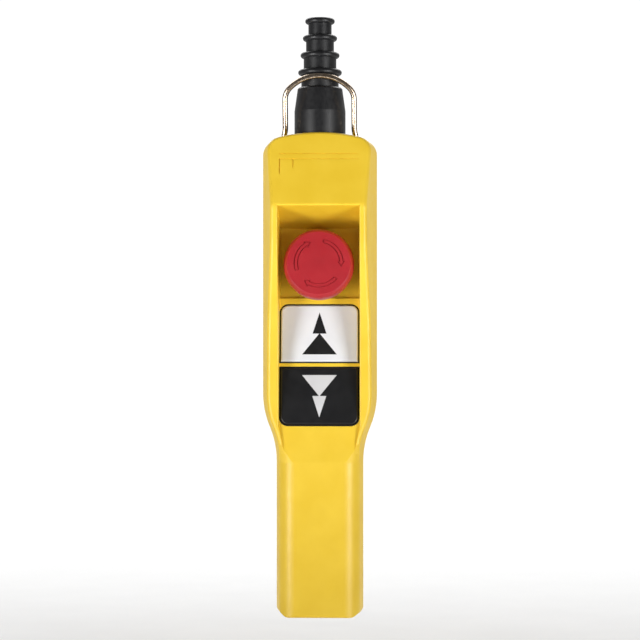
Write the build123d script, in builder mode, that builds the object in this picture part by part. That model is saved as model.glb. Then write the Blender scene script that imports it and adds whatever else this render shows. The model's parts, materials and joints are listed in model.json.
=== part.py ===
"""Pendant control station: two-shell housing, stop button, two drive buttons, cable sleeve and bail.

Millimetres.  X is right, the front faces -Y, Z is up.  The origin is the centre of the
cable sleeve's mouth, on the sleeve's axis, and the station hangs below it.  The parting
plane of the two shells is Y = 0.  "Depth" is the distance from that plane.
"""

import os
from math import atan2, cos, degrees, hypot, radians, sin, sqrt, tan

from build123d import *

os.makedirs("parts", exist_ok=True)

# ---------------------------------------------------------------- driving dimensions

# housing outline on the parting plane
head_half = 26.0  # half width of the head
grip_half = 19.75  # half width of the grip
top_z = -52.85  # highest point of the housing
crown_radius = 77.0  # arc of the housing's top edge
shoulder_radius = 7.0  # corner between top edge and side
waist_top_z = -170.9  # where the head starts to narrow
waist_bottom_z = -201.9  # where the grip starts
bottom_z = -271.75
toe_radius = 4.0  # corner at the foot of the grip
draft = 9.8  # degrees, both shells narrow away from the parting plane, not at top and bottom
wall = 2.5

# side profiles as depth at height
lip_depth = 27.2  # hood lip, the deepest point of the front
lip_z = -86.5
rail_depth = 26.6  # guard rails beside the stop button
rail_z = -106.0
mid_rail_depth = 17.2  # guard rails above the drive buttons
mid_rail_z = -138.0
low_rail_depth = 15.2
low_rail_z = -168.0
grip_depth = 14.25
hood_top_depth = 11.8  # hood face carried on to the height over_z
over_z = -50.0
back_depth = 32.0
back_top_z = -77.5
back_low_z = -157.5
back_top_depth = 18.0
grip_back_depth = 19.0
grip_back_end_depth = 18.0

# soft edges
front_edge = 1.8
back_edge = 4.0
recess_edge = 0.7  # front edges of the recess: guard rails and hood lip
grip_edge = 8.0
grip_skin = 0.02  # the soft-edge envelope stands this far off the flat faces
grip_fade = ((4.0, 10.0), (4.0, 20.0), (8.0, 36.0))  # heights and angles over which it ends

# moulded blank frame on the hood
mark_z = -63.0
mark_half = 17.8
mark_line = 0.4
mark_depth = 0.35
mark_gap = 2.6
mark_tail = 7.5
mark_box = 4.2
mark_box_wide = 6.0

# control panel
panel_z = -115.4  # height of the stop button's axis on the panel
panel_tilt = 8.5  # degrees, the panel leans back at its top
recess_half = 18.2
deck_top = 19.9  # upper end of the deck, measured up the panel
deck_bottom = -12.9
bezel_rise = 2.5  # button frame above the deck
bezel_top_bar = 2.55
button_pitch = 28.6
button_open = 27.1  # opening height up the panel
button_travel = 5.0
seal_wall = 0.45
seal_gap = 0.25  # running clearance between cap and seal
cap_rise = 3.2  # cap face above the deck
cap_depth = 6.2
cap_wall = 1.6
cap_top = 2.0
cap_corner = 3.6
small_corner = 0.6
seal_floor = 1.0
seal_sunk = 0.3  # below the button frame
cap_clear = 1.2  # left under a pressed cap
inlay_depth = 0.5
arrow_high = 9.6  # the arrow's two heads reach this far up and down
arrow_wide_half = 7.85
arrow_narrow_half = 3.15
arrow_lap = 0.1
scoop_end_z = -201.4
scoop_half = 15.0

# stop button
mushroom_radius = 15.8
mushroom_round = 1.7  # rounded rim, seen from the front
mushroom_bulge = 0.4  # the side is widest in the middle
mushroom_thick = 9.3
stop_travel = 5.5
stop_clear = 3.2  # left between the bushing and the pressed head
stem_radius = 5.3
running_gap = 0.2  # radial, for stems in their bores
bushing_radius = 8.0
bushing_end = -12.0
bushing_flange_radius = 12.5
bushing_flange_top = 4.5
bushing_taper = 15.0
gasket_thick = 1.0
nut_thick = 3.0
nut_radius = 11.4
release_inner = 9.2  # engraved arrows that show the turn to release
release_outer = 11.1
release_tail = 79.0  # degrees round the face
release_sweep = 74.0
release_head = 15.0
release_flare = 0.9
engrave_line = 0.4
engrave_depth = 0.4

# cable sleeve
bead_pitch = 7.8
bead_count = 4
first_bead_z = -1.3
bead_thick = 2.6
first_bead_radius = 6.75
bead_step = 1.07
neck_inset = 1.45
first_bore = 3.5
bore_step = 1.0
sleeve_shoulder_z = -31.65
sleeve_throat = 2.5  # from the shoulder down to the wide bore
sleeve_body_z = -42.45
sleeve_shoulder_radius = 10.2
sleeve_radius = 11.65
body_bore = 7.75
sleeve_clear = 0.05
flange_lip = 1.95
flange_drop = 4.65  # below the housing's highest point
flange_thick = 3.0
collar_wall = 2.7

# suspension bail
wire_radius = 1.25
bail_gap = 0.8  # between sleeve flange and legs
bail_rise = 11.0
bail_corner = 7.75
bail_height = 35.74
bail_lean = 16.3
bail_swing = 28.0  # degrees, further forward
pivot_drop = 8.65  # below the housing's highest point
foot_out = 2.25  # feet stand wider than the legs
pin_long = 5.0
leg_straight = 10.94
pivot_gap = 0.12
slot_gap = 0.3  # beside the bail where it leaves the housing
swing_gap = 0.7  # ahead of the bail at its forward limit

# fasteners
screw_radius = 1.5
screw_head_radius = 2.75
screw_head = 2.2
screw_seat = 8.0  # depth of the screw heads' seat in the rear shell
screw_end = 6.0
insert_radius = 2.3
insert_long = 6.0
insert_sunk = 0.5
boss_radius = 3.8
rear_boss_radius = 4.3
socket_radius = 1.5
socket_depth = 1.5
head_screw_x = 15.0
head_screw_drop = 29.15  # below the housing's highest point
grip_screw_x = 7.5
grip_screw_drop = 1.1  # below the start of the grip
foot_screw_rise = 9.75
small_screw_radius = 1.0
small_head_radius = 1.8
small_head = 1.4
shank_gap = 0.15
gasket_width = 1.0
gasket_inset = 0.75

# cable clamp
clamp_drop = 7.5  # below the sleeve
clamp_inner = 7.8
clamp_thick = 1.6
clamp_width = 5.0
clamp_ear = 15.0
clamp_screw_x = 11.5
clamp_post_radius = 3.0

# drive switches
plate_thick = 2.0
plate_half = 19.4
plate_ear_half = 2.7
plate_foot_half = 7.0
plate_ear_x = 17.0
plate_ear_up = -8.0
plate_foot_up = -76.0
tray_half = 14.0
tray_top = -16.0
tray_bottom = -70.0
tray_depth = 14.0
tray_wall = 1.6
tray_floor = 2.0
tray_screw_x = 11.3
tray_screw_up = 2.9  # in from the tray's ends
tray_boss_radius = 2.8
plunger_radius = 4.0
plunger_gap = 0.3
plunger_end = -14.2
tip_radius = 1.1
tip_long = 1.0
bridge_thick = 0.8
bridge_half = 7.0
bridge_width = 4.4
contact_clear = 0.1
contact_in = 4.0
contact_out = 7.0
strip_end = 12.2
strip_thick = 1.0
strip_width = 4.0
terminal_x = 10.0
spring_outer = 3.2
spring_inner = 2.5

# stop button's contact block
block_half = 13.4
block_up = 11.0
block_end = -26.0
block_roof = 1.5
block_collar = 1.0
stop_screw_head_radius = 1.4
stop_plunger_top = -6.3
stop_plunger_end = -15.0
stem_neck_radius = 2.5
stem_neck_long = 3.4
stop_bridge_half = 8.5
stop_contact_in = 6.0
stop_strip_end = 11.7
stop_terminal_x = 10.5

# ---------------------------------------------------------------- sizes that follow

well_depth = cap_depth - cap_rise + button_travel + cap_clear + seal_floor  # behind the deck
mushroom_base = bushing_flange_top + stop_clear + stop_travel
mushroom_face = mushroom_base + mushroom_thick
flange_radius = sleeve_radius + flange_lip
flange_top_z = top_z - flange_drop
shelf_z = flange_top_z - flange_thick
clamp_z = shelf_z - clamp_drop
gasket_top_z = clamp_z
bail_half = flange_radius + bail_gap + wire_radius
foot_half = bail_half + foot_out
pin_end = foot_half + pin_long
pivot_z = top_z - pivot_drop
screw_places = [
    (head_screw_x, top_z - head_screw_drop),
    (grip_screw_x, waist_bottom_z - grip_screw_drop),
    (grip_screw_x, bottom_z + foot_screw_rise),
]

# ---------------------------------------------------------------- planes and helpers

front_plane = Plane.XZ
rear_plane = Plane(origin=(0, 0, 0), x_dir=(-1, 0, 0), z_dir=(0, 1, 0))
panel_cos = cos(radians(panel_tilt))
panel_sin = sin(radians(panel_tilt))
panel = Plane(origin=(0, 0, panel_z), x_dir=(1, 0, 0), z_dir=(0, -panel_cos, panel_sin))
draft_slope = tan(radians(draft))


def panel_yz(up, out):
    """World (Y, Z) of a point that is `up` the panel and `out` from it."""
    return (up * panel_sin - out * panel_cos, panel_z + up * panel_cos + out * panel_sin)


def crown_z(x, inset=0):
    return top_z - crown_radius + sqrt((crown_radius - inset) ** 2 - x**2)


def rim_edges(part, sign):
    """Edges round the faces that look out to the front (sign -1) or the rear (sign 1)."""
    faces = part.faces().filter_by(lambda f: f.normal_at(f.center()).Y * sign > cos(radians(50)))
    seen = {}
    for edge in faces.edges():
        place = tuple(round(value, 2) for value in edge.center())
        seen.setdefault(place, []).append(edge)
    return ShapeList(edges[0] for edges in seen.values() if len(edges) == 1)


def save(part, name):
    part.label = name
    export_step(part, f"parts/{name}.step")


def housing_outline(plane, inset, narrower=0):
    """Face of the housing's outline on the parting plane, shrunk by inset, with closer sides."""
    head = head_half - narrower
    grip = grip_half - narrower
    waist_out = (head - grip) / 2
    waist_down = (waist_top_z - waist_bottom_z) / 2
    waist_radius = (waist_out**2 + waist_down**2) / (2 * waist_out)
    share = (waist_radius - inset) / waist_radius
    waist_mid = (
        head - waist_radius + (waist_radius - waist_out) * share,
        waist_top_z - waist_down * share,
    )
    side = head - inset
    with BuildSketch(plane) as face:
        with BuildLine():
            crown_mid = (side / 2, crown_z(side / 2, inset))
            ThreePointArc((0, top_z - inset), crown_mid, (side, crown_z(side, inset)))
            Line((side, crown_z(side, inset)), (side, waist_top_z))
            TangentArc((side, waist_top_z), waist_mid, tangent=(0, -1))
            TangentArc((grip - inset, waist_bottom_z), waist_mid, tangent=(0, 1))
            Line((grip - inset, waist_bottom_z), (grip - inset, bottom_z + inset))
            Line((grip - inset, bottom_z + inset), (0, bottom_z + inset))
            mirror(about=Plane.YZ)
        make_face()
    return face.sketch


def profile_points(sign, inset):
    """Side profile of one shell, from the top down, and the radii of its corners."""
    if sign < 0:
        points = [
            (hood_top_depth, over_z),
            (lip_depth, lip_z),
            (rail_depth, rail_z),
            (mid_rail_depth, mid_rail_z),
            (low_rail_depth, low_rail_z),
            (grip_depth, waist_bottom_z),
            (grip_depth, bottom_z - wall),
        ]
        radii = [6, 60, 60, 150, 150]
    else:
        points = [
            (back_top_depth, over_z),
            (back_depth, back_top_z),
            (back_depth, back_low_z),
            (grip_back_depth, waist_bottom_z),
            (grip_back_end_depth, bottom_z - wall),
        ]
        radii = [12, 40, 40]
    return [(sign * (depth - inset), z) for depth, z in points], radii


def grip_envelope(sign, inset):
    """Everything that the soft edges of the grip leave, with the edges fading out upward."""
    half = grip_half - inset + grip_skin
    depth = (grip_depth if sign < 0 else grip_back_depth) - inset + grip_skin
    with BuildPart() as envelope:
        with BuildSketch(Plane.XY.offset(waist_bottom_z)) as section:
            with BuildLine():
                Polyline(
                    (half + draft_slope, -sign),
                    (half - draft_slope * depth, sign * depth),
                    (-half + draft_slope * depth, sign * depth),
                    (-half - draft_slope, -sign),
                    close=True,
                )
            make_face()
            outer = section.vertices().group_by(Axis.Y)[0 if sign < 0 else -1]
            fillet(outer, grip_edge - inset)
        extrude(amount=bottom_z - waist_bottom_z - wall)
        for rise, flare in grip_fade:
            top = envelope.faces().sort_by(Axis.Z)[-1]
            extrude(top, amount=rise, taper=-flare)
        fade_z = envelope.part.bounding_box().max.Z
        with BuildSketch(Plane.XY.offset(fade_z)):
            Rectangle(4 * head_half, 4 * head_half)
        extrude(amount=-fade_z)
    return envelope.part


def shell_solid(sign, inset):
    """Solid bounded by one shell's outer faces, or by its inner faces where inset is the wall."""
    plane = front_plane if sign < 0 else rear_plane
    points, radii = profile_points(sign, inset)
    reach = max(lip_depth, back_depth) + wall
    with BuildPart() as solid:
        add(housing_outline(plane, inset))
        add(housing_outline(plane.offset(reach), inset, reach * draft_slope))
        loft(ruled=True)
        corners = solid.edges().filter_by(lambda e: abs(e.tangent_at(0.5).Y) > cos(radians(25)))
        fillet(corners.group_by(Axis.Z)[-1], shoulder_radius - inset)
        corners = solid.edges().filter_by(lambda e: abs(e.tangent_at(0.5).Y) > cos(radians(25)))
        fillet(corners.group_by(Axis.Z)[0], toe_radius - inset)
        with BuildSketch(Plane.YZ):
            with BuildLine():
                FilletPolyline(*points, radius=radii)
                Polyline(points[-1], (0, points[-1][1]), (0, over_z), points[0])
            make_face()
        extrude(amount=head_half + wall, both=True, mode=Mode.INTERSECT)
        if not inset:
            fillet(rim_edges(solid.part, sign), front_edge if sign < 0 else back_edge)
        add(grip_envelope(sign, inset), mode=Mode.INTERSECT)
    return solid.part


# ---------------------------------------------------------------- shared places

up_centre = deck_bottom - bezel_top_bar - button_open / 2
down_centre = up_centre - button_pitch
bezel_end = down_centre - button_open / 2
pair_places = [(side * x, z) for x, z in screw_places for side in (-1, 1)]
plate_places = [(-plate_ear_x, plate_ear_up), (plate_ear_x, plate_ear_up), (0, plate_foot_up)]
hood_slope = (lip_depth - hood_top_depth) / (over_z - lip_z)
collar_radius = flange_radius + collar_wall
slot_in = bail_half - wire_radius + slot_gap
slot_out = foot_half + 2 * wire_radius
mouth_in = bail_half - wire_radius - slot_gap
mouth_out = foot_half + wire_radius + slot_gap
mouth_rise = crown_z(slot_in) - pivot_z
swing_front = radians(bail_lean + bail_swing)
slot_front = -mouth_rise * tan(swing_front) - wire_radius / cos(swing_front) - swing_gap
slot_back = 2 * wire_radius
rear_reach = back_depth + wall
front_reach = lip_depth + wall
plate_back = -well_depth - plate_thick
tray_back = plate_back - tray_depth


def box_between(low, high, mode=Mode.ADD):
    """Add or cut the box between two corners."""
    middle = [(a + b) / 2 for a, b in zip(low, high)]
    size = [abs(b - a) for a, b in zip(low, high)]
    with Locations(tuple(middle)):
        Box(*size, mode=mode)


def is_rail_edge(edge):
    """Whether an edge runs along the front of the recess, on the inner side of a guard rail."""
    centre = edge.center()
    beside = abs(abs(centre.X) - recess_half) < recess_edge / 10 and centre.Z < lip_z
    ahead = -centre.Y * panel_cos + (centre.Z - panel_z) * panel_sin > 2 * bezel_rise
    return beside and ahead and abs(edge.tangent_at(0.5).Z) > cos(radians(60))


def is_lip_edge(edge):
    """Whether an edge is the hood's lip above the recess."""
    centre = edge.center()
    return abs(centre.X) < recess_edge and abs(centre.Z - lip_z) < recess_edge / 10


# ---------------------------------------------------------------- housing shells

front_outer = shell_solid(-1, 0)
front_inner = shell_solid(-1, wall)
rear_outer = shell_solid(1, 0)
rear_inner = shell_solid(1, wall)

# recess in side view: end wall under the hood, deck, button frame
deck_corner = panel_yz(deck_top, 0)
end_wall_y = -lip_depth - front_reach
end_wall_rise = (lip_z - deck_corner[1]) / (-lip_depth - deck_corner[0])
end_wall_z = deck_corner[1] + end_wall_rise * (end_wall_y - deck_corner[0])
far_out = lip_depth + front_reach
scoop_start = bezel_end - small_corner

# solid left around the recess and the button wells, before they are cut
with BuildPart() as pocket:
    with BuildSketch(Plane.YZ):
        with BuildLine():
            Polyline(
                panel_yz(deck_top + wall, -wall),
                (end_wall_y, end_wall_z + wall),
                (end_wall_y, panel_yz(bezel_end - wall, far_out)[1]),
                panel_yz(bezel_end - wall, far_out / 2),
                panel_yz(bezel_end - wall, -well_depth),
                panel_yz(deck_bottom, -well_depth),
                panel_yz(deck_bottom, -wall),
                close=True,
            )
        make_face()
    extrude(amount=recess_half + wall, both=True)
    with BuildSketch(panel.offset(-well_depth)):
        with Locations(plate_places):
            Circle(small_head_radius + wall / 2)
    extrude(amount=well_depth + bezel_rise / 2)

with BuildPart() as pocket_behind:
    add(pocket.part)
    with BuildSketch(rear_plane):
        with Locations((0, panel_z)):
            Rectangle(4 * head_half, 4 * back_depth + 2 * head_half)
    extrude(amount=rear_reach, mode=Mode.INTERSECT)
    add(rear_inner, mode=Mode.INTERSECT)


def inner_features(sign):
    """What stays solid inside both shells: bosses, bail pivot blocks, sleeve collar."""
    plane = front_plane if sign < 0 else rear_plane
    with BuildPart() as features:
        with BuildSketch(plane):
            with Locations(pair_places):
                Circle(boss_radius if sign < 0 else rear_boss_radius)
        extrude(amount=rear_reach)
        with BuildSketch(plane):
            with Locations((0, pivot_z)):
                Rectangle(2 * head_half, 6 * wire_radius)
                Rectangle(2 * slot_out, 6 * wire_radius, mode=Mode.SUBTRACT)
        extrude(amount=3 * wire_radius)
        with BuildSketch(Plane.XY.offset(shelf_z - wall)):
            Circle(collar_radius)
            Rectangle(2 * (slot_in - slot_gap), 4 * collar_radius, mode=Mode.INTERSECT)
        extrude(amount=over_z - shelf_z + wall)
    return features.part


def top_openings():
    """The sleeve's seat, the bail's slots and its pivot bores, to be cut from both shells."""
    with BuildPart() as openings:
        with BuildSketch(Plane.XY.offset(over_z)):
            Circle(sleeve_radius + sleeve_clear)
        extrude(amount=flange_top_z - over_z)
        with BuildSketch(Plane.XY.offset(flange_top_z)):
            Circle(flange_radius + sleeve_clear)
        extrude(amount=-flange_thick)
        with BuildSketch(Plane.XY.offset(shelf_z)):
            Circle(body_bore + sleeve_clear)
        extrude(amount=-2 * wall)
        for side in (-1, 1):
            low = (side * slot_in, slot_front, pivot_z - 3 * wire_radius)
            box_between(low, (side * slot_out, slot_back, crown_z(slot_out) - wall))
            high = (side * mouth_out, slot_back, over_z)
            box_between(low, high)
            box_between((side * mouth_in, slot_front, flange_top_z), high)
        with BuildSketch(Plane.YZ.offset(slot_in)):
            with Locations((0, pivot_z)):
                Circle(wire_radius + pivot_gap)
        extrude(amount=pin_end + pivot_gap - slot_in)
        mirror(about=Plane.YZ)
    return openings.part


front_features = inner_features(-1)
rear_features = inner_features(1)
top_cut = top_openings()

with BuildPart() as front_cavity:
    add(front_inner)
    add(pocket.part, mode=Mode.SUBTRACT)
    add(front_features, mode=Mode.SUBTRACT)

with BuildPart() as front_shell:
    add(front_outer)
    add(front_cavity.part, mode=Mode.SUBTRACT)
    add(pocket_behind.part)
    # recess
    with BuildSketch(Plane.YZ):
        with BuildLine():
            Polyline(
                deck_corner,
                (end_wall_y, end_wall_z),
                (end_wall_y, panel_yz(scoop_start, far_out)[1]),
                panel_yz(scoop_start, far_out / 2),
                panel_yz(scoop_start, bezel_rise),
                panel_yz(deck_bottom, bezel_rise),
                panel_yz(deck_bottom, 0),
                close=True,
            )
        make_face()
    extrude(amount=recess_half, both=True, mode=Mode.SUBTRACT)
    rims = front_shell.edges().filter_by(lambda e: is_rail_edge(e) or is_lip_edge(e))
    fillet(rims, recess_edge)
    # scoop between the button frame and the grip
    scoop_y, scoop_z = panel_yz(scoop_start, bezel_rise)
    scoop_down = scoop_end_z - scoop_z
    scoop_out = -grip_depth - scoop_y
    scoop_long = hypot(scoop_down, scoop_out)
    scoop_plane = Plane(origin=(0, scoop_y, scoop_z), x_dir=(1, 0, 0), z_dir=(0, scoop_down, -scoop_out))
    with BuildSketch(scoop_plane):
        with BuildLine():
            Polyline(
                (-recess_half, small_corner),
                (-recess_half, 0),
                (-scoop_half, -scoop_long),
                (scoop_half, -scoop_long),
                (recess_half, 0),
                (recess_half, small_corner),
                close=True,
            )
        make_face()
    extrude(amount=rail_depth, mode=Mode.SUBTRACT)
    # button wells
    for centre, rounded in ((up_centre, 1), (down_centre, -1)):
        with BuildSketch(panel.offset(bezel_rise)) as opening:
            with Locations((0, centre)):
                Rectangle(2 * recess_half, button_open)
            fillet(opening.vertices().group_by(Axis.Y)[-1 if rounded > 0 else 0], cap_corner + seal_wall)
        extrude(amount=-well_depth - 2 * bezel_rise, mode=Mode.SUBTRACT)
    # blank frame on the hood
    mark_y = -hood_top_depth - (over_z - mark_z) * hood_slope
    hood_face = Plane(
        origin=(0, mark_y, mark_z),
        x_dir=(1, 0, 0),
        z_dir=(0, lip_z - over_z, lip_depth - hood_top_depth),
    )
    with BuildSketch(hood_face):
        with Locations((0, 0), (0, -mark_gap)):
            Rectangle(2 * mark_half, mark_line)
        with Locations((-mark_half, -mark_gap)):
            Rectangle(mark_line, mark_tail, align=(Align.MIN, Align.MAX))
        with Locations((mark_box_wide - mark_half, -mark_gap)):
            Rectangle(mark_line, mark_box, align=(Align.MIN, Align.MAX))
    extrude(amount=-mark_depth, mode=Mode.SUBTRACT)
    # stop button's panel hole and the pilot holes of the plate screws
    with BuildSketch(panel):
        Circle(bushing_radius + shank_gap)
    extrude(amount=-2 * wall, mode=Mode.SUBTRACT)
    with BuildSketch(panel.offset(-well_depth)):
        with Locations(plate_places):
            Circle(small_screw_radius)
    extrude(amount=screw_end, mode=Mode.SUBTRACT)
    # insert holes
    with BuildSketch(front_plane):
        with Locations(pair_places):
            Circle(insert_radius)
    extrude(amount=insert_sunk + insert_long + 1, mode=Mode.SUBTRACT)
    add(top_cut, mode=Mode.SUBTRACT)

with BuildPart() as rear_cavity:
    add(rear_inner)
    add(rear_features, mode=Mode.SUBTRACT)
    with BuildSketch(rear_plane.offset(clamp_thick / 2)):
        with Locations((-clamp_screw_x, clamp_z), (clamp_screw_x, clamp_z)):
            Circle(clamp_post_radius)
    extrude(amount=rear_reach, mode=Mode.SUBTRACT)


def rounded_outline(inset):
    """The housing's outline shrunk by inset, with its rounded feet, in its own plane."""
    with BuildSketch() as face:
        add(housing_outline(Plane.XY, inset))
        fillet(face.vertices().group_by(Axis.Y)[0], toe_radius - inset)
    return face.sketch


gasket_low = bottom_z - wall
with BuildPart() as housing_gasket:
    with BuildSketch(rear_plane):
        add(rounded_outline(gasket_inset))
        add(rounded_outline(gasket_inset + gasket_width), mode=Mode.SUBTRACT)
    extrude(amount=gasket_width)
    with BuildSketch(rear_plane):
        with Locations((0, (gasket_top_z + gasket_low) / 2)):
            Rectangle(4 * head_half, gasket_top_z - gasket_low)
    extrude(amount=gasket_width, mode=Mode.INTERSECT)

with BuildPart() as rear_shell:
    add(rear_outer)
    add(rear_cavity.part, mode=Mode.SUBTRACT)
    add(housing_gasket.part, mode=Mode.SUBTRACT)
    with BuildSketch(rear_plane):
        with Locations(pair_places):
            Circle(screw_radius + shank_gap)
    extrude(amount=rear_reach, mode=Mode.SUBTRACT)
    with BuildSketch(rear_plane.offset(screw_seat)):
        with Locations(pair_places):
            Circle(screw_head_radius + 2 * shank_gap)
    extrude(amount=rear_reach, mode=Mode.SUBTRACT)
    with BuildSketch(rear_plane):
        with Locations((-clamp_screw_x, clamp_z), (clamp_screw_x, clamp_z)):
            Circle(small_screw_radius)
    extrude(amount=screw_seat, mode=Mode.SUBTRACT)
    add(top_cut, mode=Mode.SUBTRACT)

save(front_shell.part, "front_shell")
save(rear_shell.part, "rear_shell")
save(housing_gasket.part, "housing_gasket")

# ---------------------------------------------------------------- housing fasteners

with BuildPart() as thread_inserts:
    with BuildSketch(front_plane.offset(insert_sunk)):
        with Locations(pair_places):
            Circle(insert_radius)
            Circle(screw_radius, mode=Mode.SUBTRACT)
    extrude(amount=insert_long)
save(thread_inserts.part, "thread_inserts")

with BuildPart() as housing_screws:
    with BuildSketch(rear_plane.offset(-screw_end)):
        with Locations(pair_places):
            Circle(screw_radius)
    extrude(amount=screw_end + screw_seat)
    with BuildSketch(rear_plane.offset(screw_seat)):
        with Locations(pair_places):
            Circle(screw_head_radius)
    extrude(amount=screw_head)
    with BuildSketch(rear_plane.offset(screw_seat + screw_head)):
        with Locations(pair_places):
            RegularPolygon(socket_radius, 6)
    extrude(amount=-socket_depth, mode=Mode.SUBTRACT)
save(housing_screws.part, "housing_screws")

# ---------------------------------------------------------------- cable entry

with BuildPart() as cable_sleeve:
    with BuildSketch(Plane.XZ):
        for index in range(bead_count):
            bead_z = first_bead_z - index * bead_pitch
            bead_radius = first_bead_radius + index * bead_step
            next_z = bead_z - bead_pitch if index < bead_count - 1 else sleeve_shoulder_z
            with Locations((bead_radius - bead_thick / 2, bead_z)):
                Circle(bead_thick / 2)
            with Locations((0, bead_z)):
                Rectangle(bead_radius - bead_thick / 2, bead_thick, align=(Align.MIN, Align.CENTER))
                Rectangle(bead_radius - neck_inset, bead_z - next_z, align=(Align.MIN, Align.MAX))
        with BuildLine():
            Polyline(
                (0, sleeve_shoulder_z),
                (sleeve_shoulder_radius - small_corner, sleeve_shoulder_z),
                (sleeve_shoulder_radius, sleeve_shoulder_z - small_corner),
                (sleeve_radius, sleeve_body_z),
                (sleeve_radius, flange_top_z),
                (flange_radius, flange_top_z),
                (flange_radius, shelf_z),
                (0, shelf_z),
                close=True,
            )
        make_face()
    revolve(axis=Axis.Z)
    for index in range(bead_count):
        step_z = first_bead_z - (index - 0.5) * bead_pitch
        with BuildSketch(Plane.XY.offset(step_z)):
            Circle(first_bore + index * bore_step)
        extrude(amount=shelf_z - step_z, mode=Mode.SUBTRACT)
    with BuildSketch(Plane.XY.offset(sleeve_shoulder_z - sleeve_throat)):
        Circle(body_bore)
    extrude(amount=shelf_z - sleeve_shoulder_z, mode=Mode.SUBTRACT)
save(cable_sleeve.part, "cable_sleeve")

with BuildPart() as cable_clamp:
    with BuildSketch(Plane.XY.offset(clamp_z - clamp_width / 2)):
        Circle(clamp_inner + clamp_thick)
        Rectangle(2 * clamp_ear, clamp_thick)
        Circle(clamp_inner, mode=Mode.SUBTRACT)
        with Locations((0, clamp_thick / 2)):
            Rectangle(
                4 * clamp_ear, 2 * clamp_ear, align=(Align.CENTER, Align.MIN), mode=Mode.SUBTRACT
            )
    extrude(amount=clamp_width)
    with BuildSketch(front_plane):
        with Locations((-clamp_screw_x, clamp_z), (clamp_screw_x, clamp_z)):
            Circle(small_screw_radius + shank_gap)
    extrude(amount=clamp_thick, both=True, mode=Mode.SUBTRACT)
save(cable_clamp.part, "cable_clamp")

with BuildPart() as cable_clamp_screws:
    with BuildSketch(front_plane.offset(clamp_thick / 2)):
        with Locations((-clamp_screw_x, clamp_z), (clamp_screw_x, clamp_z)):
            Circle(small_head_radius)
    extrude(amount=small_head)
    with BuildSketch(front_plane.offset(clamp_thick / 2)):
        with Locations((-clamp_screw_x, clamp_z), (clamp_screw_x, clamp_z)):
            Circle(small_screw_radius)
    extrude(amount=-screw_end)
save(cable_clamp_screws.part, "cable_clamp_screws")

# ---------------------------------------------------------------- suspension bail

lean_cos = cos(radians(bail_lean))
lean_sin = sin(radians(bail_lean))
bail_plane = Plane(origin=(0, 0, pivot_z), x_dir=(1, 0, 0), z_dir=(0, -lean_cos, -lean_sin))
arch_start = bail_height - bail_rise
corner_x = bail_half - bail_corner
arch_radius = (corner_x**2 + bail_rise**2 - bail_corner**2) / (2 * (bail_rise - bail_corner))
arch_centre = bail_height - arch_radius
corner_sweep = degrees(atan2(arch_start - arch_centre, corner_x))
top_sweep = 90 - corner_sweep

with BuildPart() as suspension_bail:
    with BuildLine(bail_plane):
        FilletPolyline(
            (pin_end, 0), (foot_half, 0), (bail_half, leg_straight), (bail_half, arch_start),
            radius=[2 * wire_radius, 8 * wire_radius],
        )
        CenterArc((corner_x, arch_start), bail_corner, 0, corner_sweep)
        CenterArc((0, arch_centre), arch_radius, corner_sweep, top_sweep)
        mirror(about=Plane.YZ)
    with BuildSketch(Plane(origin=(pin_end, 0, pivot_z), x_dir=(0, 1, 0), z_dir=(1, 0, 0))):
        Circle(wire_radius)
    sweep()
save(suspension_bail.part, "suspension_bail")

# ---------------------------------------------------------------- stop button

bushing_bore = stem_radius + running_gap
with BuildPart() as estop_gasket:
    with BuildSketch(panel):
        Circle(bushing_flange_radius - small_corner)
        Circle(bushing_radius + shank_gap, mode=Mode.SUBTRACT)
    extrude(amount=gasket_thick)
save(estop_gasket.part, "estop_gasket")

with BuildPart() as estop_bushing:
    with BuildSketch(panel.offset(bushing_end)):
        Circle(bushing_radius)
    extrude(amount=gasket_thick - bushing_end)
    with BuildSketch(panel.offset(gasket_thick)):
        Circle(bushing_flange_radius)
    extrude(amount=bushing_flange_top - gasket_thick, taper=bushing_taper)
    with BuildSketch(panel.offset(bushing_end)):
        Circle(bushing_bore)
    extrude(amount=2 * mushroom_face, mode=Mode.SUBTRACT)
save(estop_bushing.part, "estop_bushing")

with BuildPart() as estop_nut:
    with BuildSketch(panel.offset(-wall)):
        RegularPolygon(nut_radius, 6)
        Circle(bushing_radius, mode=Mode.SUBTRACT)
    extrude(amount=-nut_thick)
save(estop_nut.part, "estop_nut")

def round_face(radius, angle):
    """Point of the stop button's face in polar coordinates."""
    return (radius * cos(radians(angle)), radius * sin(radians(angle)))


def release_arrow(tail):
    """Outline of one curved arrow that runs clockwise from the angle of its tail."""
    neck = tail - release_sweep
    middle = (release_inner + release_outer) / 2
    with BuildSketch() as arrow:
        with BuildLine():
            CenterArc((0, 0), release_outer, neck, release_sweep)
            CenterArc((0, 0), release_inner, neck, release_sweep)
            Line(round_face(release_inner, tail), round_face(release_outer, tail))
            Polyline(
                round_face(release_outer, neck),
                round_face(release_outer + release_flare, neck),
                round_face(middle, neck - release_head),
                round_face(release_inner - release_flare, neck),
                round_face(release_inner, neck),
            )
        make_face()
        offset(arrow.sketch, amount=-engrave_line, mode=Mode.SUBTRACT)
    return arrow.sketch


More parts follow.
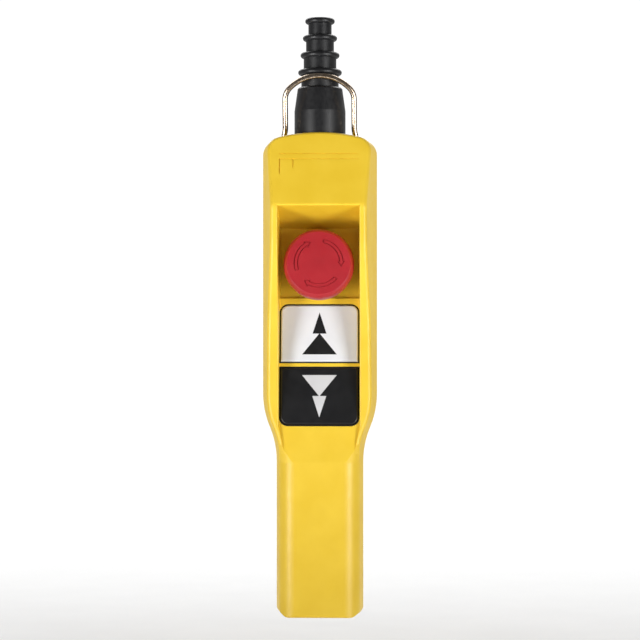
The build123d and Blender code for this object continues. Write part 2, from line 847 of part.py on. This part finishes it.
mushroom_middle = (mushroom_base + mushroom_face) / 2
turn_axis = Axis((0, 0, panel_z), panel.z_dir)
with BuildPart() as estop_head:
    with BuildSketch(Plane(origin=panel.origin, x_dir=(1, 0, 0), z_dir=-panel.y_dir)):
        with BuildLine():
            Polyline(
                (mushroom_radius - mushroom_round, mushroom_face),
                (0, mushroom_face),
                (0, mushroom_base + wall),
                (mushroom_radius - 2 * wall, mushroom_base + wall),
                (mushroom_radius - wall, mushroom_base),
                (mushroom_radius - mushroom_bulge, mushroom_base),
            )
            Spline(
                (mushroom_radius - mushroom_bulge, mushroom_base),
                (mushroom_radius, mushroom_middle),
                (mushroom_radius - mushroom_round / 2, mushroom_face - mushroom_round / 2),
                (mushroom_radius - mushroom_round, mushroom_face),
            )
        make_face()
    revolve(axis=turn_axis)
    with BuildSketch(panel.offset(mushroom_face)):
        for turn in range(3):
            add(release_arrow(release_tail + turn * 120))
    extrude(amount=-engrave_depth, mode=Mode.SUBTRACT)
save(estop_head.part, "estop_head")

with BuildPart() as estop_stem:
    with BuildSketch(panel.offset(mushroom_base + wall)):
        Circle(stem_radius)
    extrude(amount=stop_plunger_top + running_gap - mushroom_base - wall)
    with BuildSketch(panel.offset(stop_plunger_top + running_gap)):
        Circle(stem_neck_radius)
    extrude(amount=-stem_neck_long)
save(estop_stem.part, "estop_stem")

with BuildPart() as estop_plunger:
    with BuildSketch(panel.offset(stop_plunger_top)):
        Circle(stem_radius)
    extrude(amount=stop_plunger_end - stop_plunger_top)
    with BuildSketch(panel.offset(stop_plunger_top)):
        Circle(stem_neck_radius + running_gap)
    extrude(amount=-stem_neck_long, mode=Mode.SUBTRACT)
    with BuildSketch(panel.offset(stop_plunger_end)):
        Circle(tip_radius)
    extrude(amount=-bridge_thick - tip_long)
save(estop_plunger.part, "estop_plunger")

with BuildPart() as estop_contact_bridge:
    with BuildSketch(panel.offset(stop_plunger_end)):
        Rectangle(2 * stop_bridge_half, bridge_width)
        Circle(tip_radius, mode=Mode.SUBTRACT)
    extrude(amount=-bridge_thick)
save(estop_contact_bridge.part, "estop_contact_bridge")

roof_in = bushing_end - block_roof
with BuildPart() as estop_contact_block:
    with BuildSketch(panel.offset(bushing_end)):
        RectangleRounded(2 * block_half, 2 * block_up, wall)
    extrude(amount=block_end - bushing_end)
    with BuildSketch(panel.offset(roof_in)):
        Rectangle(2 * (block_half - tray_wall), 2 * (block_up - tray_wall))
    extrude(amount=block_end + tray_wall - roof_in, mode=Mode.SUBTRACT)
    with BuildSketch(panel.offset(bushing_end)):
        Circle(bushing_radius + block_collar)
        Circle(bushing_radius, mode=Mode.SUBTRACT)
    extrude(amount=-wall - nut_thick - bushing_end - shank_gap)
    with BuildSketch(panel.offset(bushing_end)):
        Circle(stem_radius + 2 * running_gap)
        with Locations((-stop_terminal_x, 0), (stop_terminal_x, 0)):
            Circle(small_screw_radius)
    extrude(amount=-block_roof, mode=Mode.SUBTRACT)
save(estop_contact_block.part, "estop_contact_block")

with BuildPart() as estop_fixed_contacts:
    contact_mid = (stop_contact_in + stop_strip_end) / 2
    with BuildSketch(panel.offset(roof_in)):
        with Locations((-contact_mid, 0), (contact_mid, 0)):
            Rectangle(stop_strip_end - stop_contact_in, strip_width)
        with Locations((-stop_terminal_x, 0), (stop_terminal_x, 0)):
            Circle(small_screw_radius, mode=Mode.SUBTRACT)
    extrude(amount=stop_plunger_end + contact_clear / 2 - roof_in)
save(estop_fixed_contacts.part, "estop_fixed_contacts")

with BuildPart() as estop_terminal_screws:
    with BuildSketch(panel.offset(bushing_end)):
        with Locations((-stop_terminal_x, 0), (stop_terminal_x, 0)):
            Circle(stop_screw_head_radius)
    extrude(amount=small_head)
    with BuildSketch(panel.offset(bushing_end)):
        with Locations((-stop_terminal_x, 0), (stop_terminal_x, 0)):
            Circle(small_screw_radius)
    extrude(amount=-block_roof - strip_thick)
save(estop_terminal_screws.part, "estop_terminal_screws")

with BuildPart() as estop_spring:
    with BuildSketch(panel.offset(stop_plunger_end - bridge_thick)):
        Circle(spring_outer)
        Circle(spring_inner, mode=Mode.SUBTRACT)
    extrude(amount=block_end + tray_wall - stop_plunger_end + bridge_thick)
save(estop_spring.part, "estop_spring")

# ---------------------------------------------------------------- drive switches

tray_centre = (tray_top + tray_bottom) / 2
tray_ends = [tray_top - tray_screw_up, tray_bottom + tray_screw_up]
tray_screws = [(side * tray_screw_x, up) for up in tray_ends for side in (-1, 1)]

with BuildPart() as switch_plate:
    with BuildSketch(panel.offset(-well_depth)) as plate:
        plate_top = deck_bottom + small_corner
        plate_low = tray_bottom + tray_screw_up + small_screw_radius
        with Locations((0, (plate_top + plate_low) / 2)):
            Rectangle(2 * plate_half, plate_top - plate_low)
        with Locations((0, (plate_low + plate_foot_up - wall) / 2)):
            Rectangle(2 * plate_foot_half, plate_low - plate_foot_up + wall)
        for side in (-1, 1):
            with Locations((side * plate_ear_x, (plate_top + plate_ear_up) / 2)):
                Rectangle(2 * plate_ear_half, plate_ear_up - plate_top)
            with Locations((side * plate_ear_x, plate_ear_up)):
                Circle(plate_ear_half)
        with Locations((0, up_centre), (0, down_centre)):
            Circle(plunger_radius + plunger_gap, mode=Mode.SUBTRACT)
        with Locations(plate_places):
            Circle(small_screw_radius + shank_gap, mode=Mode.SUBTRACT)
        with Locations(tray_screws):
            Circle(small_screw_radius, mode=Mode.SUBTRACT)
    extrude(amount=-plate_thick)
save(switch_plate.part, "switch_plate")

with BuildPart() as switch_plate_screws:
    with BuildSketch(panel.offset(plate_back)):
        with Locations(plate_places):
            Circle(small_head_radius)
    extrude(amount=-small_head)
    with BuildSketch(panel.offset(plate_back)):
        with Locations(plate_places):
            Circle(small_screw_radius)
    extrude(amount=plate_thick + screw_end - 1)
save(switch_plate_screws.part, "switch_plate_screws")

floor_out = tray_back + tray_floor
contact_top = plunger_end - bridge_thick - button_travel - contact_clear
terminal_places = [(side * terminal_x, up) for up in (up_centre, down_centre) for side in (-1, 1)]

with BuildPart() as switch_tray:
    with BuildSketch(panel.offset(plate_back)):
        with Locations((0, tray_centre)):
            RectangleRounded(2 * tray_half, tray_top - tray_bottom, wall / 2)
    extrude(amount=-tray_depth)
    with BuildSketch(panel.offset(plate_back)):
        with Locations((0, tray_centre)):
            Rectangle(2 * (tray_half - tray_wall), tray_top - tray_bottom - 2 * tray_wall)
    extrude(amount=tray_floor - tray_depth, mode=Mode.SUBTRACT)
    with BuildSketch(panel.offset(plate_back)):
        with Locations(tray_screws):
            Circle(tray_boss_radius)
        with Locations((0, tray_centre)):
            Rectangle(2 * tray_half, tray_top - tray_bottom - tray_wall, mode=Mode.INTERSECT)
        with Locations(tray_screws):
            Circle(small_screw_radius + shank_gap, mode=Mode.SUBTRACT)
    extrude(amount=-tray_depth)
    with BuildSketch(panel.offset(tray_back)):
        with Locations(tray_screws):
            Circle(small_screw_radius + shank_gap)
        with Locations(terminal_places):
            Circle(small_screw_radius)
    extrude(amount=tray_floor, mode=Mode.SUBTRACT)
save(switch_tray.part, "switch_tray")

with BuildPart() as switch_tray_screws:
    with BuildSketch(panel.offset(tray_back)):
        with Locations(tray_screws):
            Circle(small_head_radius)
    extrude(amount=-small_head)
    with BuildSketch(panel.offset(tray_back)):
        with Locations(tray_screws):
            Circle(small_screw_radius)
    extrude(amount=tray_depth + plate_thick)
save(switch_tray_screws.part, "switch_tray_screws")


def arrow_sketch(centre, direction):
    """Two stacked arrow heads of a two-speed button, pointing up (1) or down (-1)."""
    with BuildSketch() as arrow:
        for base, half, tip in (
            (-arrow_high, arrow_wide_half, arrow_lap),
            (-arrow_lap, arrow_narrow_half, arrow_high),
        ):
            with BuildLine():
                Polyline(
                    (-half, centre + direction * base),
                    (half, centre + direction * base),
                    (0, centre + direction * tip),
                    close=True,
                )
            make_face()
    return arrow.sketch


def build_button(name, centre, direction):
    """Cap, legend, seal, plunger, spring and contacts of one drive button."""
    cap_half = recess_half - seal_wall - seal_gap
    cap_high = button_open - 2 * (seal_wall + seal_gap)
    rounded = -1 if direction > 0 else 0
    with BuildPart() as cap:
        with BuildSketch(panel.offset(cap_rise)) as face:
            with Locations((0, centre)):
                Rectangle(2 * cap_half, cap_high)
            fillet(face.vertices().group_by(Axis.Y)[rounded], cap_corner - seal_gap)
        extrude(amount=-cap_depth)
        edge_loop = cap.faces().sort_by(Axis.Y)[0].edges()
        fillet(edge_loop, cap_wall / 2)
        with BuildSketch(panel.offset(cap_rise - cap_depth)):
            with Locations((0, centre)):
                Rectangle(2 * (cap_half - cap_wall), cap_high - 2 * cap_wall)
                Circle(plunger_radius + cap_wall, mode=Mode.SUBTRACT)
        extrude(amount=cap_depth - cap_top, mode=Mode.SUBTRACT)
        with BuildSketch(panel.offset(cap_rise - cap_depth)):
            with Locations((0, centre)):
                Circle(plunger_radius)
        extrude(amount=cap_depth - cap_top, mode=Mode.SUBTRACT)
        with BuildSketch(panel.offset(cap_rise)):
            add(arrow_sketch(centre, direction))
        extrude(amount=-inlay_depth, mode=Mode.SUBTRACT)
    save(cap.part, f"{name}_button_cap")

    with BuildPart() as legend:
        with BuildSketch(panel.offset(cap_rise)):
            add(arrow_sketch(centre, direction))
        extrude(amount=-inlay_depth)
    save(legend.part, f"{name}_arrow_inlay")

    with BuildPart() as seal:
        with BuildSketch(panel.offset(bezel_rise - seal_sunk)) as ring:
            with Locations((0, centre)):
                Rectangle(2 * recess_half, button_open)
            fillet(ring.vertices().group_by(Axis.Y)[rounded], cap_corner + seal_wall)
        extrude(amount=seal_sunk - bezel_rise - well_depth)
        with BuildSketch(panel.offset(bezel_rise)) as bore:
            with Locations((0, centre)):
                Rectangle(2 * (recess_half - seal_wall), button_open - 2 * seal_wall)
            fillet(bore.vertices().group_by(Axis.Y)[rounded], cap_corner)
        extrude(amount=seal_floor - bezel_rise - well_depth, mode=Mode.SUBTRACT)
        with BuildSketch(panel.offset(-well_depth)):
            with Locations((0, centre)):
                Circle(plunger_radius + 2 * plunger_gap)
        extrude(amount=wall, mode=Mode.SUBTRACT)
    save(seal.part, f"{name}_button_seal")

    with BuildPart() as plunger:
        with BuildSketch(panel.offset(cap_rise - cap_top)):
            with Locations((0, centre)):
                Circle(plunger_radius)
        extrude(amount=plunger_end - cap_rise + cap_top)
        with BuildSketch(panel.offset(plunger_end)):
            with Locations((0, centre)):
                Circle(tip_radius)
        extrude(amount=-bridge_thick - tip_long)
    save(plunger.part, f"{name}_plunger")

    with BuildPart() as bridge:
        with BuildSketch(panel.offset(plunger_end)):
            with Locations((0, centre)):
                Rectangle(2 * bridge_half, bridge_width)
                Circle(tip_radius, mode=Mode.SUBTRACT)
        extrude(amount=-bridge_thick)
    save(bridge.part, f"{name}_contact_bridge")

    with BuildPart() as spring:
        with BuildSketch(panel.offset(plunger_end - bridge_thick)):
            with Locations((0, centre)):
                Circle(spring_outer)
                Circle(spring_inner, mode=Mode.SUBTRACT)
        extrude(amount=floor_out - plunger_end + bridge_thick)
    save(spring.part, f"{name}_return_spring")

    strip_mid = (contact_in + strip_end) / 2
    post_mid = (contact_in + contact_out) / 2
    with BuildPart() as contacts:
        with BuildSketch(panel.offset(floor_out)):
            with Locations((-strip_mid, centre), (strip_mid, centre)):
                Rectangle(strip_end - contact_in, strip_width)
            with Locations((-terminal_x, centre), (terminal_x, centre)):
                Circle(small_screw_radius, mode=Mode.SUBTRACT)
        extrude(amount=strip_thick)
        with BuildSketch(panel.offset(floor_out)):
            with Locations((-post_mid, centre), (post_mid, centre)):
                Rectangle(contact_out - contact_in, strip_width)
        extrude(amount=contact_top - floor_out)
    save(contacts.part, f"{name}_fixed_contacts")

    with BuildPart() as screws:
        with BuildSketch(panel.offset(floor_out + strip_thick)):
            with Locations((-terminal_x, centre), (terminal_x, centre)):
                Circle(small_head_radius)
        extrude(amount=small_head)
        with BuildSketch(panel.offset(floor_out + strip_thick)):
            with Locations((-terminal_x, centre), (terminal_x, centre)):
                Circle(small_screw_radius)
        extrude(amount=-strip_thick - tray_floor)
    save(screws.part, f"{name}_terminal_screws")


build_button("up", up_centre, 1)
build_button("down", down_centre, -1)
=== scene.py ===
"""Looks of the pendant control station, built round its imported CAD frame.  Metres, Z up, front -Y."""

import json
from math import cos, pi, radians, sin

import bmesh
import bpy
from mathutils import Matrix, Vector

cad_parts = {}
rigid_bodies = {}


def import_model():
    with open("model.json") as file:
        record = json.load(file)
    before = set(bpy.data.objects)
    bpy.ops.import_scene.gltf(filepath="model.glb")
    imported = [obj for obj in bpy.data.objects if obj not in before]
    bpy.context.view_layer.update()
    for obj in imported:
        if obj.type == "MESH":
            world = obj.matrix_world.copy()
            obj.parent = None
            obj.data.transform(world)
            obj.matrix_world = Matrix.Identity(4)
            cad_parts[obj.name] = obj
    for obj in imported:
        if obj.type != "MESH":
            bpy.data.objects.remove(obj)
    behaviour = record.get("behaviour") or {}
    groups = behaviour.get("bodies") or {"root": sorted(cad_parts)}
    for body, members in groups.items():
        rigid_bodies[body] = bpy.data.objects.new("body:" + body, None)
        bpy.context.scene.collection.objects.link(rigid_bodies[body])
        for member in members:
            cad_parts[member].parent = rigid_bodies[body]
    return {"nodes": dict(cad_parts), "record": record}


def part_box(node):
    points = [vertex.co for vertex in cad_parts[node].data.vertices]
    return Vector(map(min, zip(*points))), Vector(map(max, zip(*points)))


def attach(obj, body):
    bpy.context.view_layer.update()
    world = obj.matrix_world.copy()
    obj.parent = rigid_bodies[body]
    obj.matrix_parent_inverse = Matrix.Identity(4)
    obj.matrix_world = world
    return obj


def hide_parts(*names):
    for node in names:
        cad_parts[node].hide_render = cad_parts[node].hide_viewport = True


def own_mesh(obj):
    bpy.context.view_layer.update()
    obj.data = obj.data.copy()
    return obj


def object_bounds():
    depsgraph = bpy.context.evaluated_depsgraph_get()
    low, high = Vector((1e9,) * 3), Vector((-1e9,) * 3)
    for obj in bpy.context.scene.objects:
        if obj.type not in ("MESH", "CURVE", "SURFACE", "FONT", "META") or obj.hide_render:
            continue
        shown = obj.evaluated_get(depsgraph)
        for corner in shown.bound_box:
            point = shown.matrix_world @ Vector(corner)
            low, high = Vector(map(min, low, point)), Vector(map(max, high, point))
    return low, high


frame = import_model()
cad_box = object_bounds()
MM = 0.001

# ---------------------------------------------------------------- materials

DRIFT = 14 * MM  # faint colour patches of a moulding
GLOSS_PATCH = 3 * MM
GRAIN = 0.35 * MM  # spark-eroded surface
GRAIN_DEPTH = 0.004 * MM
WAVE = 5 * MM  # slow unevenness under the grain
PLASTIC_IOR = 1.5
RUBBER_PATCH = 6 * MM
RUBBER_GLOSS_PATCH = 1.5 * MM
RUBBER_GRAIN = 0.25 * MM
RUBBER_DEPTH = 0.012 * MM
RUBBER_IOR = 1.48
METAL_PATCH = 2.5 * MM
METAL_STREAK = 0.6 * MM
METAL_DEPTH = 0.002 * MM


class Nodes:
    """A node material under construction: nodes are added by type and linked by socket name."""

    def __init__(self, name):
        self.material = bpy.data.materials.new(name)
        self.material.use_nodes = True
        self.tree = self.material.node_tree
        self.shader = self.tree.nodes["Principled BSDF"]
        self.place = self.add("ShaderNodeTexCoord").outputs["Object"]

    def add(self, kind, **settings):
        node = self.tree.nodes.new(kind)
        for key, value in settings.items():
            setattr(node, key, value)
        return node

    def set(self, **values):
        for key, value in values.items():
            self.shader.inputs[key.replace("_", " ")].default_value = value

    def link(self, source, target):
        self.tree.links.new(source, target)

    def noise(self, size, detail, roughness=0.5):
        """Noise whose features are about `size` metres across."""
        noise = self.add("ShaderNodeTexNoise")
        noise.inputs["Scale"].default_value = 1 / size
        noise.inputs["Detail"].default_value = detail
        noise.inputs["Roughness"].default_value = roughness
        self.link(self.place, noise.inputs["Vector"])
        return noise.outputs["Fac"]

    def ramp(self, source, stops):
        """Colour ramp; stops are (position, colour) pairs."""
        ramp = self.add("ShaderNodeValToRGB")
        elements = ramp.color_ramp.elements
        while len(elements) < len(stops):
            elements.new(0.5)
        for element, (position, colour) in zip(elements, stops):
            element.position = position
            element.color = (*colour, 1)
        self.link(source, ramp.inputs["Fac"])
        return ramp.outputs["Color"]

    def range(self, source, low, high, start=0.3, end=0.7):
        node = self.add("ShaderNodeMapRange")
        for key, value in (("From Min", start), ("From Max", end), ("To Min", low), ("To Max", high)):
            node.inputs[key].default_value = value
        self.link(source, node.inputs["Value"])
        return node.outputs["Result"]

    def bump(self, source, depth, after=None):
        """Bump of the given depth in metres, on top of an earlier bump if there is one."""
        node = self.add("ShaderNodeBump")
        node.inputs["Distance"].default_value = depth
        node.inputs["Strength"].default_value = 1.0
        self.link(source, node.inputs["Height"])
        if after:
            self.link(after, node.inputs["Normal"])
        return node.outputs["Normal"]


def moulded_plastic(name, dark, light, rough):
    """Moulded plastic: faint colour drift, spark-eroded grain and slightly uneven gloss."""
    m = Nodes(name)
    m.link(m.ramp(m.noise(DRIFT, 3), [(0.35, dark), (0.65, light)]), m.shader.inputs["Base Color"])
    m.link(m.range(m.noise(GLOSS_PATCH, 4), rough - 0.05, rough + 0.05), m.shader.inputs["Roughness"])
    fine = m.bump(m.noise(GRAIN, 3), GRAIN_DEPTH)
    m.link(m.bump(m.noise(WAVE, 1), 3 * GRAIN_DEPTH, fine), m.shader.inputs["Normal"])
    m.set(IOR=PLASTIC_IOR)
    return m.material


def rubber(name, dark, light, rough=0.62):
    """Rubber: mottled black with a fine matt grain."""
    m = Nodes(name)
    m.link(m.ramp(m.noise(RUBBER_PATCH, 5), [(0.35, dark), (0.7, light)]), m.shader.inputs["Base Color"])
    gloss = m.noise(RUBBER_GLOSS_PATCH, 4)
    m.link(m.range(gloss, rough - 0.08, rough + 0.08), m.shader.inputs["Roughness"])
    m.link(m.bump(m.noise(RUBBER_GRAIN, 4), RUBBER_DEPTH), m.shader.inputs["Normal"])
    m.set(IOR=RUBBER_IOR)
    return m.material


def metal(name, dark, light, rough):
    """Bare metal: slight tarnish and fine, uneven polish."""
    m = Nodes(name)
    m.link(m.ramp(m.noise(METAL_PATCH, 4), [(0.35, dark), (0.65, light)]), m.shader.inputs["Base Color"])
    streaks = m.noise(METAL_STREAK, 4, 0.6)
    m.link(m.range(streaks, rough - 0.08, rough + 0.1), m.shader.inputs["Roughness"])
    m.link(m.bump(streaks, METAL_DEPTH), m.shader.inputs["Normal"])
    m.set(Metallic=1.0)
    return m.material


YELLOW = ((0.86, 0.57, 0.030), (0.90, 0.61, 0.040))
SLOT_MATERIALS = {
    "housing": moulded_plastic("housing", *YELLOW, 0.42),
    "housing_rear": moulded_plastic("housing_rear", *YELLOW, 0.42),
    "sleeve_rubber": rubber("sleeve_rubber", (0.006, 0.006, 0.007), (0.012, 0.012, 0.013), 0.42),
    "seal_rubber": rubber("seal_rubber", (0.005, 0.005, 0.006), (0.010, 0.010, 0.011)),
    "bail_steel": metal("bail_steel", (0.46, 0.35, 0.25), (0.64, 0.53, 0.42), 0.2),
    "stop_red": moulded_plastic("stop_red", (0.38, 0.014, 0.022), (0.44, 0.019, 0.028), 0.4),
    "cap_white": moulded_plastic("cap_white", (0.72, 0.74, 0.78), (0.77, 0.79, 0.83), 0.42),
    "cap_black": moulded_plastic("cap_black", (0.006, 0.006, 0.007), (0.010, 0.010, 0.011), 0.36),
    "arrow_black": moulded_plastic("arrow_black", (0.004, 0.004, 0.005), (0.008, 0.008, 0.009), 0.4),
    "arrow_white": moulded_plastic("arrow_white", (0.62, 0.62, 0.63), (0.67, 0.67, 0.68), 0.4),
    "switch_plastic": moulded_plastic("switch_plastic", (0.018, 0.018, 0.02), (0.03, 0.03, 0.033), 0.5),
    "plunger_plastic": moulded_plastic("plunger_plastic", (0.55, 0.52, 0.45), (0.62, 0.6, 0.52), 0.4),
    "brass": metal("brass", (0.66, 0.46, 0.18), (0.78, 0.58, 0.26), 0.28),
    "screw_steel": metal("screw_steel", (0.5, 0.5, 0.48), (0.64, 0.64, 0.6), 0.3),
    "spring_steel": metal("spring_steel", (0.42, 0.42, 0.43), (0.56, 0.56, 0.56), 0.26),
}

for part in frame["record"]["subparts"]:
    node = frame["nodes"][part["node"]]
    for slot in node.material_slots:
        slot.material = SLOT_MATERIALS[part["material_slot"]]

# ---------------------------------------------------------------- return springs

WIRE_SIDES = 10
TURN_STEPS = 28
SPRING_TURNS = 7
END_TURNS = 0.9  # closed turns at each end of a spring


def tube_mesh(name, path, sides, radius):
    """Closed tube along a list of points, with flat ends."""
    shape = bmesh.new()
    rings = []
    for index, point in enumerate(path):
        ahead = (path[min(index + 1, len(path) - 1)] - path[max(index - 1, 0)]).normalized()
        across = across - ahead * across.dot(ahead) if rings else ahead.orthogonal()
        across.normalize()
        beside = ahead.cross(across)
        turns = [2 * pi * side / sides for side in range(sides)]
        rings.append([shape.verts.new(point + radius * (across * cos(a) + beside * sin(a))) for a in turns])
    for ring, following in zip(rings, rings[1:]):
        for side in range(sides):
            after = (side + 1) % sides
            shape.faces.new((ring[side], ring[after], following[after], following[side]))
    shape.faces.new(rings[0][::-1])
    shape.faces.new(rings[-1])
    for face in shape.faces:
        face.smooth = len(face.verts) == 4
    bmesh.ops.recalc_face_normals(shape, faces=shape.faces)
    mesh = bpy.data.meshes.new(name)
    shape.to_mesh(mesh)
    shape.free()
    return mesh


def make_spring(node_name, joint):
    """Wound compression spring in the space of the node's plain tube, carried by the joint's parent body.
    """
    axis = Vector(joint["axis"]).normalized()
    corners = [vertex.co.copy() for vertex in frame["nodes"][node_name].data.vertices]
    centre = sum(corners, Vector()) / len(corners)
    along = [(corner - centre).dot(axis) for corner in corners]
    reach = [((corner - centre) - axis * (corner - centre).dot(axis)).length for corner in corners]
    outer, inner = max(reach), min(reach)
    wire = (outer - inner) / 2
    start, end = min(along) + wire, max(along) - wire
    coil = (outer + inner) / 2
    across = axis.orthogonal().normalized()
    beside = axis.cross(across)
    steps = SPRING_TURNS * TURN_STEPS
    path = []
    for step in range(steps + 1):
        turn = step / TURN_STEPS
        open_share = (turn - END_TURNS) / (SPRING_TURNS - 2 * END_TURNS)
        closed = 2 * wire * min(turn, END_TURNS) + 2 * wire * max(0, turn - SPRING_TURNS + END_TURNS)
        rest = end - start - 4 * wire * END_TURNS
        height = start + closed + rest * min(1, max(0, open_share))
        angle = 2 * pi * turn
        path.append(centre + axis * height + coil * (across * cos(angle) + beside * sin(angle)))
    spring = bpy.data.objects.new(node_name + "_coil", tube_mesh(node_name, path, WIRE_SIDES, wire))
    spring.data.materials.append(SLOT_MATERIALS["spring_steel"])
    bpy.context.collection.objects.link(spring)
    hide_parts(node_name)
    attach(spring, joint["parent"])
    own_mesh(spring)


for joint in frame["record"]["behaviour"]["joints"]:
    for soft in joint.get("deforming_nodes", []):
        make_spring(soft["node"], joint)

# ---------------------------------------------------------------- floor, light and camera

FLOOR_RADIUS = 1.2
FLOOR_DROP = 30 * MM  # below the hanging station's foot
FLOOR_GRAIN = 40 * MM
FADE_START, FADE_END = 0.15, 0.7  # the floor turns clear between these distances
AIM_DROP = 1.675 * MM  # the camera looks this far below the middle of the station
DIM_SIDE, BRIGHT_SIDE = -0.3, 0.7  # directions along Y between which the studio brightens


def make_floor():
    """Pale round floor that fades into the backdrop at its edge."""
    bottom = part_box("rear_shell")[0].z
    mesh = bpy.data.meshes.new("floor")
    shape = bmesh.new()
    bmesh.ops.create_circle(shape, cap_ends=True, segments=96, radius=FLOOR_RADIUS)
    shape.to_mesh(mesh)
    shape.free()
    floor = bpy.data.objects.new("floor", mesh)
    floor.location.z = bottom - FLOOR_DROP
    bpy.context.collection.objects.link(floor)
    m = Nodes("floor")
    grain = m.ramp(m.noise(FLOOR_GRAIN, 3), [(0.3, (0.90, 0.90, 0.90)), (0.7, (0.93, 0.93, 0.93))])
    m.link(grain, m.shader.inputs["Base Color"])
    m.set(Roughness=0.9)
    length = m.add("ShaderNodeVectorMath", operation="LENGTH")
    m.link(m.place, length.inputs[0])
    clear = m.add("ShaderNodeBsdfTransparent")
    mix = m.add("ShaderNodeMixShader")
    m.link(m.range(length.outputs["Value"], 0, 1, FADE_START, FADE_END), mix.inputs["Fac"])
    m.link(m.shader.outputs["BSDF"], mix.inputs[1])
    m.link(clear.outputs["BSDF"], mix.inputs[2])
    m.link(mix.outputs["Shader"], m.tree.nodes["Material Output"].inputs["Surface"])
    mesh.materials.append(m.material)


def make_world(front, behind, seen):
    """White studio: dim in front of the object, bright behind it, and white where the camera looks."""
    world = bpy.data.worlds.new("studio")
    bpy.context.scene.world = world
    world.use_nodes = True
    tree = world.node_tree
    light = tree.nodes["Background"]
    direction = tree.nodes.new("ShaderNodeSeparateXYZ")
    tree.links.new(tree.nodes.new("ShaderNodeTexCoord").outputs["Generated"], direction.inputs["Vector"])
    spread = tree.nodes.new("ShaderNodeMapRange")
    span = {"From Min": DIM_SIDE, "From Max": BRIGHT_SIDE, "To Min": front, "To Max": behind}
    for key, value in span.items():
        spread.inputs[key].default_value = value
    tree.links.new(direction.outputs["Y"], spread.inputs["Value"])
    tree.links.new(spread.outputs["Result"], light.inputs["Strength"])
    light.inputs["Color"].default_value = (1, 1, 1, 1)
    backdrop = tree.nodes.new("ShaderNodeBackground")
    backdrop.inputs["Color"].default_value = (1, 1, 1, 1)
    backdrop.inputs["Strength"].default_value = seen
    path = tree.nodes.new("ShaderNodeLightPath")
    mix = tree.nodes.new("ShaderNodeMixShader")
    tree.links.new(path.outputs["Is Camera Ray"], mix.inputs["Fac"])
    tree.links.new(light.outputs["Background"], mix.inputs[1])
    tree.links.new(backdrop.outputs["Background"], mix.inputs[2])
    tree.links.new(mix.outputs["Shader"], tree.nodes["World Output"].inputs["Surface"])


def softbox(name, place, width, height, power, target):
    data = bpy.data.lights.new(name, "AREA")
    data.shape = "RECTANGLE"
    data.size, data.size_y, data.energy = width, height, power
    lamp = bpy.data.objects.new(name, data)
    lamp.location = place
    lamp.rotation_euler = (Vector(target) - Vector(place)).to_track_quat("-Z", "Y").to_euler()
    bpy.context.collection.objects.link(lamp)


def make_camera(target, distance, azimuth, lens):
    data = bpy.data.cameras.new("camera")
    data.lens = lens
    camera = bpy.data.objects.new("camera", data)
    turn = radians(azimuth)
    camera.location = target + Vector((sin(turn), -cos(turn), 0)) * distance
    camera.rotation_euler = (target - camera.location).to_track_quat("-Z", "Y").to_euler()
    bpy.context.collection.objects.link(camera)
    bpy.context.scene.camera = camera


cad_low, cad_high = cad_box
middle = Vector((0, 0, (cad_low[2] + cad_high[2]) / 2 - AIM_DROP))
bpy.context.scene.view_settings.view_transform = "Standard"
make_floor()
make_world(front=0.10, behind=0.45, seen=1.05)
softbox("left", place=(-0.86, -0.88, -0.46), width=0.4, height=0.8, power=17, target=middle)
softbox("right", place=(0.86, -0.88, -0.40), width=0.4, height=0.8, power=15, target=middle)
softbox("low", place=(0.0, -0.9, -1.15), width=0.5, height=0.3, power=5, target=middle)
softbox("overhead", place=(0.0, 0.75, 0.55), width=1.2, height=0.8, power=10, target=(0, 0.35, -0.3))
make_camera(middle, distance=0.93, azimuth=1.6, lens=114.6)
